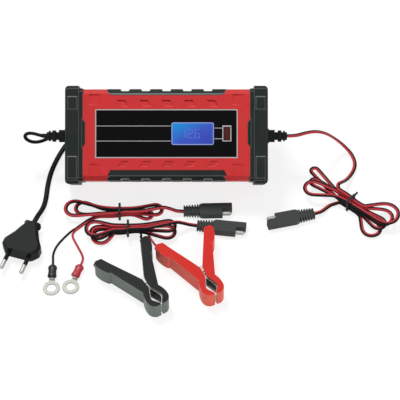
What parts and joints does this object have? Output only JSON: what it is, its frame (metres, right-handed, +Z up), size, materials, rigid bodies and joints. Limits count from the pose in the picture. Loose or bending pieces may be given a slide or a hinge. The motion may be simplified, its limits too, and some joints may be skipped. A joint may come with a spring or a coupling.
{
  "type": "car battery charger",
  "caption": "Leaning car battery charger with rubber ends, display and mode key, mains lead with plug, output lead, and spare leads with ring ends and sprung clamps.",
  "frame": {"origin": "bottom centre of the box of the charger itself, on the surface that it leans on", "axes": "+X along the charger's long side towards its output lead, +Z up; the display faces -Y and up"},
  "size_m": [0.3644, 0.2202, 0.0867],
  "materials": {
    "case_red": "satin",
    "rubber_dark": "matt",
    "seal": "matt",
    "fascia_black": "gloss",
    "trim_silver": "satin",
    "lcd_pane": "gloss",
    "lcd_module": "matt",
    "button_brown": "satin",
    "board_green": "satin",
    "component_black": "matt",
    "copper_brown": "satin",
    "aluminium": "satin",
    "steel": "brushed",
    "spring_cream": "satin",
    "brass": "satin",
    "tinned": "satin",
    "cord_black": "satin",
    "cord_red": "satin",
    "lead_twin": "satin",
    "plug_black": "satin",
    "clamp_black": "satin",
    "clamp_red": "satin",
    "tie_black": "satin"
  },
  "bodies": {
    "charger": {"front_cover": "case_red", "rear_cover": "case_red", "cover_seal": "seal", "left_bumper": "rubber_dark", "right_bumper": "rubber_dark", "top_grip": "rubber_dark", "bottom_grip": "rubber_dark", "display_fascia": "fascia_black", "fascia_trim": "trim_silver", "lcd_window": "lcd_pane", "lcd_module": "lcd_module", "main_board": "board_green", "display_board": "board_green", "button_switch": "component_black", "transformer": "component_black", "capacitors": "component_black", "choke": "copper_brown", "heat_sink": "aluminium", "power_transistors": "component_black", "fuse": "tinned", "screws": "steel", "mains_gland": "rubber_dark", "output_gland": "rubber_dark", "mains_cord_run": "cord_black", "mains_cord_hank": "cord_black", "mains_cord_tail": "cord_black", "plug_body": "plug_black", "plug_pins": "tinned", "plug_pin_sleeves": "plug_black", "output_cord_run": "lead_twin", "output_cord_hank": "lead_twin", "output_cord_tail": "lead_twin", "output_connector": "plug_black", "ring_connector": "plug_black", "ring_cord_run": "lead_twin", "ring_cord_hank": "lead_twin", "ring_cord_tail": "lead_twin", "ring_wire_black": "cord_black", "ring_wire_red": "cord_red", "ring_sleeve_black": "cord_black", "ring_sleeve_red": "cord_red", "ring_terminals": "tinned", "clamp_connector": "plug_black", "clamp_cord_run": "lead_twin", "clamp_cord_hank": "lead_twin", "clamp_wire_black": "cord_black", "clamp_wire_red": "cord_red", "connector_contacts": "brass", "cord_ties": "tie_black", "black_fixed_jaw": "steel", "black_fixed_sleeve": "clamp_black", "red_fixed_jaw": "steel", "red_fixed_sleeve": "clamp_red", "clamp_pivot_pins": "steel", "clamp_springs": "spring_cream"},
    "mode_button": {"mode_button": "button_brown"},
    "black_jaw": {"black_moving_jaw": "steel", "black_moving_sleeve": "clamp_black"},
    "red_jaw": {"red_moving_jaw": "steel", "red_moving_sleeve": "clamp_red"}
  },
  "joints": [
    {"name": "mode_button_press", "type": "slide", "parent": "charger", "child": "mode_button", "axis": [0, 0.6018, -0.7986], "range_m": [0, 0.0008], "stiffness_N_per_m": 900, "springref_m": -0.0006},
    {"name": "black_clamp_hinge", "type": "hinge", "parent": "charger", "child": "black_jaw", "pos_m": [-0.01861, -0.14446, 0.0085], "axis": [0, 0, -1], "range_deg": [0, 32], "stiffness_Nm_per_rad": 0.5, "springref_deg": -20.05},
    {"name": "red_clamp_hinge", "type": "hinge", "parent": "charger", "child": "red_jaw", "pos_m": [0.03241, -0.13182, 0.0085], "axis": [0, 0, 1], "range_deg": [0, 32], "stiffness_Nm_per_rad": 0.5, "springref_deg": -20.05}
  ]
}
